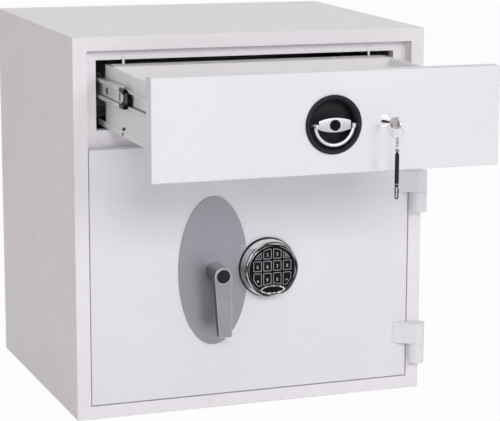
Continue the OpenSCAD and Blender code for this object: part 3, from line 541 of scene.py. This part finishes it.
OVAL_DROP, OVAL_HALF, OVAL_SEAT = 0.0272, (0.0152, 0.00415), 0.0005
OVAL_DOME = ((1.0, 0.0), (0.985, 0.00022), (0.9, 0.00034), (0.6, 0.00044), (0.25, 0.0005))
badge_lo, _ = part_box("pad_badge")
oval_z = PAD_Z - OVAL_DROP
rings = [lifted(ellipse(PAD_X, oval_z, OVAL_HALF[0] * k, OVAL_HALF[1] * k),
                badge_lo.y + OVAL_SEAT - rise, "y") for k, rise in OVAL_DOME]
mesh_piece("badge_oval", stacked(rings), MATS["gloss_black"], "door")

# Pull: flat ends on the bail, from below the cup's centre to above it
BAIL_END_OUT, BAIL_END_LOW, BAIL_END_HIGH = 0.0243, 0.0035, 0.0016
BAIL_END_WIDTH, BAIL_END_DEPTH, BAIL_END_CORNER = 0.0046, 0.0050, 0.0012
cup_lo, cup_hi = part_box("pull_cup")
CUP_X, CUP_Z = (cup_lo.x + cup_hi.x) / 2, (cup_lo.z + cup_hi.z) / 2
for side, tag in SIDES:
    loop = rounded(CUP_X + side * BAIL_END_OUT, cup_lo.y, BAIL_END_WIDTH, BAIL_END_DEPTH,
                   BAIL_END_CORNER)
    mesh_piece("bail_end_" + tag, prism(loop, CUP_Z - BAIL_END_LOW, CUP_Z + BAIL_END_HIGH, "z"),
               BAIL, "bail", 0.0004)

# Pull: the plate across the cup, a lens cut off at both ends and slightly domed
COLS, ROWS = 24, 8
END_DROP = 0.42
DOME_UP, DOME_ACROSS = 0.0004, 0.0003
eye_lo, eye_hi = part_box("pull_plate")
half_w, half_h = (eye_hi.x - eye_lo.x) / 2, (eye_hi.z - eye_lo.z) / 2
front = []
for i in range(COLS + 1):
    u = -1 + 2 * i / COLS
    for k in range(ROWS + 1):
        w = -1 + 2 * k / ROWS
        front.append((CUP_X + half_w * u, eye_lo.y + DOME_UP * w * w + DOME_ACROSS * u * u,
                      CUP_Z + half_h * (1 - END_DROP * u * u) * w))
base = len(front)
verts = front + [(x, eye_hi.y, z) for x, y, z in front]
faces = []
for i in range(COLS):
    for k in range(ROWS):
        a = i * (ROWS + 1) + k
        b = a + ROWS + 1
        faces += [(a, a + 1, b + 1, b), (base + a, base + b, base + b + 1, base + a + 1)]
rim = [i * (ROWS + 1) for i in range(COLS + 1)]
rim += [COLS * (ROWS + 1) + k for k in range(1, ROWS + 1)]
rim += [i * (ROWS + 1) + ROWS for i in range(COLS - 1, -1, -1)]
rim += [k for k in range(ROWS - 1, 0, -1)]
faces += [(a, b, base + b, base + a) for a, b in zip(rim, rim[1:] + rim[:1])]
plate = mesh_piece("plate_lens", (verts, faces), MATS["satin_silver"], "drawer",
                   0.0003)
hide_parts("pull_plate")

# Drawer lock: the keyway, a black piece that is painted shade in the slot, and the key's shank,
# painted black for the dark reflection of its metal. The shank's rows are share of its length and
# half thickness.
SLIT_SHIFT, SLIT_WIDTH, SLIT_HEIGHT, SLIT_CORNER = 0.0004, 0.0072, 0.0024, 0.0008
SLIT_PROUD, SLIT_DEPTH = 0.0003, 0.0004
SHANK_LENGTH, SHANK_LOW, SHANK_RISE = 0.0200, 0.0012, 0.0026
SHANK = ((0.0, 0.0013), (0.06, 0.0015), (0.9, 0.0015), (1.0, 0.0012))
lock_lo, lock_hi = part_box("lock_barrel")
LOCK_X, LOCK_Z = (lock_lo.x + lock_hi.x) / 2, (lock_lo.z + lock_hi.z) / 2
face_y = lock_lo.y
slit = rounded(LOCK_X + SLIT_SHIFT, LOCK_Z, SLIT_WIDTH, SLIT_HEIGHT, SLIT_CORNER)
mesh_piece("keyway_shade", prism(slit, face_y - SLIT_PROUD, face_y + SLIT_DEPTH, "y"),
           MATS["gloss_black"], "drawer_lock", 0.0001)
rings = []
for t, half in SHANK:
    z = LOCK_Z - SHANK_LOW + SHANK_RISE * t
    rings.append([(LOCK_X + sx * half, face_y - SHANK_LENGTH * t, z + sz * half)
                  for sx, sz in ((-1, -1), (1, -1), (1, 1), (-1, 1))])
mesh_piece("key_shank", stacked(rings, first_cap=True), MATS["gloss_black"], "drawer_lock",
           0.0004)

# Drawer lock: the key's bow, as distance before the lock and height over its centre. A spot is
# given by the same two numbers and its half length and half height.
BOW = [(0.0201, 0.0018), (0.0241, 0.0052), (0.0286, 0.0075), (0.0336, 0.0088), (0.0391, 0.0106),
       (0.0438, 0.0112), (0.0484, 0.0094), (0.0528, 0.0052), (0.0534, 0.0020), (0.0511, -0.0008),
       (0.0466, -0.0030), (0.0401, -0.0048), (0.0326, -0.0054), (0.0261, -0.0050),
       (0.0221, -0.0026)]
BOW_MIDDLE, BOW_FIELD, BOW_HALF = (0.0366, 0.0028), (0.87, 0.80), 0.0011
BORDER_PROUD, SPOT_PROUD, ENGRAVED = 0.0003, 0.00012, 0.0002
BOW_SPOTS = ((0.0276, -0.0016, 0.0016, 0.0021), (0.0458, 0.0030, 0.0014, 0.0017),
             (0.0494, 0.0010, 0.0019, 0.0012))


def bow_point(out, height):
    return face_y - out, LOCK_Z + height


edge = [bow_point(*p) for p in BOW]
bow = mesh_piece("key_bow", prism(edge, LOCK_X - BOW_HALF, LOCK_X + BOW_HALF, "x"), KEY_NICKEL,
                 "drawer_lock", 0.0005, 3)
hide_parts("drawer_key")
field = [bow_point(*(m + (v - m) * k for v, m, k in zip(p, BOW_MIDDLE, BOW_FIELD))) for p in BOW]
for side, number in ((-1, 1), (1, 3)):
    x = LOCK_X + side * BOW_HALF
    border = ring_band(edge, field, x + side * BORDER_PROUD, x - side * ENGRAVED, "x")
    mesh_piece("key_border_%d" % number, border, KEY_NICKEL, "drawer_lock", 0.0001)
    spots = [prism(ellipse(*bow_point(out, height), ry, rz, 20),
                   x - side * ENGRAVED, x + side * SPOT_PROUD, "x")
             for out, height, ry, rz in BOW_SPOTS]
    mesh_piece("key_hole_%d" % number, joined(spots), MATS["gloss_black"], "drawer_lock")

# Split ring: two turns of wire in place of the plain ring
RING_TURNS, RING_STEPS, RING_START = 2.15, 86, math.radians(200)
RING_WIRE, RING_LEAD, RING_INSET = 0.00042, 0.0009, 0.0006
ring_lo, ring_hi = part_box("key_ring")
rc = (ring_lo + ring_hi) / 2
ring_r = (ring_hi.x - ring_lo.x) / 2 - RING_INSET
pts = []
for i in range(RING_STEPS + 1):
    t = i / RING_STEPS
    a = RING_START + t * RING_TURNS * 2 * math.pi
    pts.append((rc.x + ring_r * math.cos(a), rc.y + (t - 0.5) * RING_LEAD,
                rc.z + ring_r * math.sin(a)))
split = wire_piece("split_ring", pts, RING_WIRE, WIRE, "ring")
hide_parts("key_ring")

# Chain: three small links, each turned against the last, in place of the plain ones
LINK_HALF, LINK_NARROW, LINK_WIRE = 0.0031, 0.72, 0.0005
LINK_HEADING, LINK_TWIST = 23.5, 28
links_lo, links_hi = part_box("ring_links")
pitch = ((links_hi.z - links_lo.z) - 2 * (LINK_HALF + LINK_WIRE)) / 2
for i, mat in enumerate((LINK_DARK, LINK_DARK, WIRE)):
    heading = math.radians(LINK_HEADING + (LINK_TWIST if i % 2 else -LINK_TWIST))
    cz = links_hi.z - LINK_HALF - LINK_WIRE - pitch * i
    pts = [(rc.x + LINK_HALF * LINK_NARROW * c * math.sin(heading),
            rc.y + LINK_HALF * LINK_NARROW * c * math.cos(heading), cz + LINK_HALF * s)
           for c, s in circle(24)]
    link = wire_piece("link_%d" % (i + 1), pts, LINK_WIRE, mat, "tag", True)
    if i == 0:
        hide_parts("ring_links")

# Tag: two cords wound crosswise round its dark body, a bar in its eye and two hoops
WINDS, WIND_STEPS, WIND_RADIUS, WIND_CORD = 13, 24, 0.00252, 0.00028
WIND_UNDER_TOP, WIND_OVER_FOOT = 0.0082, 0.0200
BAR_HEIGHT, BAR_HALF, BAR_WIRE = 0.0088, 0.0019, 0.0005
HOOP_RADIUS, HOOP_WIRE, HOOP_HEIGHTS = 0.0024, 0.00035, (0.0191, 0.0151)
tag_lo, tag_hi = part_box("key_tag")
TAG_X, TAG_Y = (tag_lo.x + tag_hi.x) / 2, (tag_lo.y + tag_hi.y) / 2
wound_top, wound_low = tag_hi.z - WIND_UNDER_TOP, tag_lo.z + WIND_OVER_FOOT
for hand, tag in ((1, "a"), (-1, "b")):
    pts = []
    for i in range(WINDS * WIND_STEPS + 1):
        t = i / (WINDS * WIND_STEPS)
        a = hand * t * WINDS * 2 * math.pi
        pts.append((TAG_X + WIND_RADIUS * math.cos(a), TAG_Y + WIND_RADIUS * math.sin(a),
                    wound_top + (wound_low - wound_top) * t))
    wire_piece("tag_winding_" + tag, pts, WIND_CORD, MATS["tag_dark"], "tag")
bar_z = tag_lo.z + BAR_HEIGHT
wire_piece("tag_bar", [(TAG_X - BAR_HALF, TAG_Y, bar_z), (TAG_X + BAR_HALF, TAG_Y, bar_z)],
           BAR_WIRE, LINK_DARK, "tag")
for number, height in enumerate(HOOP_HEIGHTS, 1):
    hoop = lifted(ellipse(TAG_X, TAG_Y, HOOP_RADIUS, HOOP_RADIUS, 24), tag_lo.z + height, "z")
    wire_piece("tag_hoop_%d" % number, hoop, HOOP_WIRE, WIRE, "tag", True)

# Drawer: rubber buffers on the outside of both tray walls, whose foot rails stand proud of them.
# Their places are from the tray's front and foot.
RAIL_PROUD, IN_WALL = 0.0006, 0.0004
BUFFER_BACK, BUFFER_UP, BUFFER_TILT = 0.1976, 0.0108, math.radians(12)
BUFFER_HALF, BUFFER_PROUD = (0.0062, 0.0024), 0.0010
FOOT_BACK, FOOT_UP, FOOT_SIZE, FOOT_PROUD = 0.2015, 0.0035, (0.0034, 0.0042), 0.0014
tray_lo, tray_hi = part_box("tray")
wall_x = tray_hi.x - RAIL_PROUD
for side, tag in SIDES:
    x0 = side * wall_x
    spot = [(tray_lo.y + BUFFER_BACK + u * math.cos(BUFFER_TILT) - w * math.sin(BUFFER_TILT),
             tray_lo.z + BUFFER_UP - u * math.sin(BUFFER_TILT) + w * math.cos(BUFFER_TILT))
            for u, w in ellipse(0, 0, *BUFFER_HALF, 28)]
    mesh_piece("buffer_" + tag,
               prism(spot, x0 - side * IN_WALL, x0 + side * BUFFER_PROUD, "x"),
               MATS["black_plastic"], "drawer", 0.0004)
    foot = rounded(tray_lo.y + FOOT_BACK, tray_lo.z + FOOT_UP, *FOOT_SIZE, 0.0012)
    mesh_piece("buffer_foot_" + tag,
               prism(foot, x0 - side * IN_WALL, x0 + side * FOOT_PROUD, "x"),
               MATS["black_plastic"], "drawer", 0.0003)

# Slides: black end pieces, each a plate with two corner blocks, a core, a tab and ribs. A reach
# is from the tray's wall plane, a height from the slide's middle.
NOSE_BACK, END_LENGTH, TAIL_LENGTH = 0.014, 0.024, 0.012
PLATE_REACH, PLATE_HALF = (0.0059, 0.0068), 0.0117
CORNER_REACH, CORNER_BACK, CORNER_LOW, CORNER_HIGH = (0.0059, 0.0109), 0.0045, 0.0075, 0.0129
CORE_REACH, CORE_HALF, CORE_NOSE = (0.0016, 0.0060), 0.0080, 0.0005
TAB_REACH, TAB_TOP, TAB_NOSE, TAB_BACK = (0.0016, 0.0050), 0.0030, 0.0040, 0.001
RIB_REACH, RIB_HALF, RIB_BACK = (0.0058, 0.0069), 0.0066, 0.0035
RIBS, RIB_PITCH, RIB_WIDTH, RIB_CORNER = 3, 0.0045, 0.0018, 0.0004
end_lo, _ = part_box("slide_bumpers")
mid_lo, mid_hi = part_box("slide_mid")
slide_z = (mid_lo.z + mid_hi.z) / 2
nose_y = end_lo.y + NOSE_BACK
back_y = nose_y + END_LENGTH


def block(side, reach, y_range, z_range, rad=0.0006):
    """Rounded block on one side's slide."""
    (x0, x1), (y0, y1), (z0, z1) = reach, y_range, z_range
    loop = rounded((y0 + y1) / 2, slide_z + (z0 + z1) / 2, y1 - y0, z1 - z0, rad, 3)
    return prism(loop, side * (wall_x + x0), side * (wall_x + x1), "x")


for side, tag in SIDES:
    parts = [block(side, PLATE_REACH, (nose_y, back_y + TAIL_LENGTH), (-PLATE_HALF, PLATE_HALF))]
    for z_range in ((-CORNER_HIGH, -CORNER_LOW), (CORNER_LOW, CORNER_HIGH)):
        parts.append(block(side, CORNER_REACH, (nose_y + CORNER_BACK, back_y), z_range))
    parts.append(block(side, CORE_REACH, (nose_y - CORE_NOSE, back_y), (-CORE_HALF, CORE_HALF)))
    parts.append(block(side, TAB_REACH, (nose_y - TAB_NOSE, nose_y + TAB_BACK),
                       (-CORE_HALF, TAB_TOP)))
    for k in range(RIBS):
        y = nose_y + RIB_BACK + RIB_PITCH * k
        parts.append(block(side, RIB_REACH, (y, y + RIB_WIDTH), (-RIB_HALF, RIB_HALF),
                           RIB_CORNER))
    end = mesh_piece("slide_end_" + tag, joined(parts), MATS["gloss_black"], "slide_middles",
                     0.0003)
    if side < 0:
        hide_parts("slide_bumpers")

# Slides: painted shade, dark strips at the ball grooves beside the middle members' web, dark lines
# along the inner members
WEB_REACH, GROOVE_OFF, GROOVE_HALF = 0.0082, 0.0076, 0.0006
GROOVE_FRONT, GROOVE_BACK, GROOVE_DEPTH, GROOVE_PROUD = 0.012, 0.006, 0.0002, 0.00025
TRACK_IN, TRACK_START, TRACK_END_Y = 0.0019, 0.001, -0.3030
TRACK_WIDTH, TRACK_CORNER, TRACK_REACH = 0.0009, 0.0003, (0.0011, 0.0016)
inner_lo, inner_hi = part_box("slide_inner")
for side, tag in SIDES:
    web_x = side * (wall_x + WEB_REACH)
    parts = []
    for z in (slide_z - GROOVE_OFF, slide_z + GROOVE_OFF):
        y0, y1 = mid_lo.y + GROOVE_FRONT, mid_hi.y - GROOVE_BACK
        groove = [(y0, z - GROOVE_HALF), (y1, z - GROOVE_HALF),
                  (y1, z + GROOVE_HALF), (y0, z + GROOVE_HALF)]
        parts.append(prism(groove, web_x - side * GROOVE_DEPTH, web_x + side * GROOVE_PROUD, "x"))
    mesh_piece("ball_groove_shade_" + tag, joined(parts), MATS["dark_steel"], "slide_middles",
               0.0001)
track_off = (inner_hi.z - inner_lo.z) / 2 - TRACK_IN
y0, y1 = inner_lo.y + TRACK_START, TRACK_END_Y
for side, tag in SIDES:
    parts = []
    for z in (slide_z - track_off, slide_z + track_off):
        track = rounded((y0 + y1) / 2, z, y1 - y0, TRACK_WIDTH, TRACK_CORNER, 2)
        parts.append(prism(track, *(side * (wall_x + reach) for reach in TRACK_REACH), "x"))
    mesh_piece("track_shade_line_" + tag, joined(parts), MATS["dark_steel"], "drawer")

# Lever: painted highlights, bright lines along its front edge and round the black cap
LINE_WIRE, CAP_WIRE, WIRE_OFF, CAP_BACK = 0.0004, 0.0006, 0.0003, 0.0006
cap_lo, cap_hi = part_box("lever_cap")
cap = (cap_lo + cap_hi) / 2
loop, top_y = front_loop("lever")
wire_piece("lever_rim_highlight", lifted(inset(loop, WIRE_OFF), top_y + WIRE_OFF, "y"), LINE_WIRE,
           LEVER_EDGE_HIGHLIGHT, "handle", True)
rim = ellipse(cap.x, cap.z, (cap_hi.x - cap_lo.x) / 2 + WIRE_OFF,
              (cap_hi.z - cap_lo.z) / 2 + WIRE_OFF)
wire_piece("cap_rim_highlight", lifted(rim, cap_lo.y + CAP_BACK, "y"), CAP_WIRE, LEVER_EDGE_HIGHLIGHT, "handle",
           True)

# Boltwork: screws with a cross recess in its cover. Head rows are reach and height, recess rows
# the reach of its arms, that of its corners and height, all as shares of the radius.
SCREW_RADIUS, SCREW_INSET = 0.0042, 0.012
HEAD = ((1.0, 0.0), (1.0, 0.25), (0.92, 0.48), (0.7, 0.62), (0.42, 0.68))
RECESS = ((0.40, 0.16, 0.62), (0.34, 0.13, 0.25))
ARMS = [i % 6 in (0, 1, 5) for i in range(24)]


def screw(name, x, y, z):
    rings = [(24 * [reach], height) for reach, height in HEAD]
    rings += [([arm if wide else notch for wide in ARMS], height) for arm, notch, height in RECESS]
    points = [[(x + SCREW_RADIUS * reach * c, y + SCREW_RADIUS * height,
                z + SCREW_RADIUS * reach * s) for reach, (c, s) in zip(reaches, circle(24))]
              for reaches, height in rings]
    mesh_piece(name, stacked(points), MATS["bolt_steel"], "door")


works_lo, works_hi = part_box("works_case")
spots = [(x, z) for x in (works_lo.x + SCREW_INSET, 0.0, works_hi.x - SCREW_INSET)
         for z in (works_lo.z + SCREW_INSET, works_hi.z - SCREW_INSET)]
for number, (x, z) in enumerate(spots, 1):
    screw("cover_screw_%d" % number, x, works_hi.y - SUNK, z)

# Back panel: shallow spot welds all round
WELD_RADIUS, WELD_INSET, WELD_GAPS = 0.0034, 0.012, 6
WELD_DOME = ((1.0, -0.00005), (0.85, 0.00018), (0.55, 0.00012), (0.2, 0.00005))
back_lo, back_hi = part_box("back_panel")
border = [(i, j) for i in range(WELD_GAPS + 1) for j in range(WELD_GAPS + 1)
          if i in (0, WELD_GAPS) or j in (0, WELD_GAPS)]
for number, (i, j) in enumerate(border, 1):
    x = back_lo.x + WELD_INSET + (back_hi.x - back_lo.x - 2 * WELD_INSET) * i / WELD_GAPS
    z = back_lo.z + WELD_INSET + (back_hi.z - back_lo.z - 2 * WELD_INSET) * j / WELD_GAPS
    rings = [lifted(ellipse(x, z, WELD_RADIUS * k, WELD_RADIUS * k, 20), back_hi.y + rise, "y")
             for k, rise in WELD_DOME]
    mesh_piece("spot_weld_%d" % number, stacked(rings), MATS["body_paint"], "cabinet")


# Floor, backdrop and light
def seen_rays(nt):
    """1 for camera, glossy and transmission rays, so that metal shows the white around it too."""
    rays = add_node(nt, "LightPath").outputs
    seen = rays["Is Camera Ray"]
    for other in ("Is Glossy Ray", "Is Transmission Ray"):
        seen = add_node(nt, "Math", seen, rays[other], operation="MAXIMUM").outputs[0]
    return seen


def floor_material():
    """White floor that keeps a faint shadow of the object."""
    m = bpy.data.materials.new("floor")
    m.use_nodes = True
    nt = m.node_tree
    surface = nt.nodes["Principled BSDF"]
    surface.inputs["Base Color"].default_value = (0.92, 0.92, 0.92, 1)
    surface.inputs["Roughness"].default_value = 0.7
    glow = add_node(nt, "Emission", Strength=1.0)
    share = add_node(nt, "Math", seen_rays(nt), 0.955, operation="MULTIPLY").outputs[0]
    mix = add_node(nt, "MixShader", share, surface.outputs[0], glow.outputs[0])
    nt.links.new(mix.outputs[0], nt.nodes["Material Output"].inputs[0])
    return m


FLOOR_HALF = 6
corners = [(-FLOOR_HALF, -FLOOR_HALF, 0), (FLOOR_HALF, -FLOOR_HALF, 0),
           (FLOOR_HALF, FLOOR_HALF, 0), (-FLOOR_HALF, FLOOR_HALF, 0)]
me = bpy.data.meshes.new("floor")
me.from_pydata(corners, [], [(0, 1, 2, 3)])
floor = bpy.data.objects.new("floor", me)
scene.collection.objects.link(floor)
me.materials.append(floor_material())

world = bpy.data.worlds.new("world")
scene.world = world
world.use_nodes = True
wt = world.node_tree
sky = wt.nodes["Background"]
sky.inputs["Color"].default_value = (1.0, 1.0, 1.0, 1)
sky.inputs["Strength"].default_value = 0.41
white = add_node(wt, "Background", Color=(1.0, 1.0, 1.0, 1), Strength=1.0)
mix = add_node(wt, "MixShader", seen_rays(wt), sky.outputs[0], white.outputs[0])
wt.links.new(mix.outputs[0], wt.nodes["World Output"].inputs[0])

# Lamps: place, point that it looks at, size and watts
LAMPS = {
    "key_right": ((0.8, -3.2, 1.4), (0, 0, 0.25), 0.8, 19.0),
    "key_left": ((-0.7, -3.2, 1.5), (0, 0, 0.25), 0.7, 21.5),
    "level_front": ((-0.4, -3.3, 0.5), (0, 0, 0.3), 0.35, 3.0),
    "overhead": ((0.2, 0.3, 3.0), (0, 0, 0.3), 2.0, 11.5),
}
for name, (at, aim, width, watts) in LAMPS.items():
    lamp = bpy.data.lights.new(name, "AREA")
    lamp.size = width
    lamp.energy = watts
    obj = bpy.data.objects.new(name, lamp)
    scene.collection.objects.link(obj)
    obj.location = at
    obj.rotation_euler = (Vector(aim) - Vector(at)).to_track_quat("-Z", "Y").to_euler()
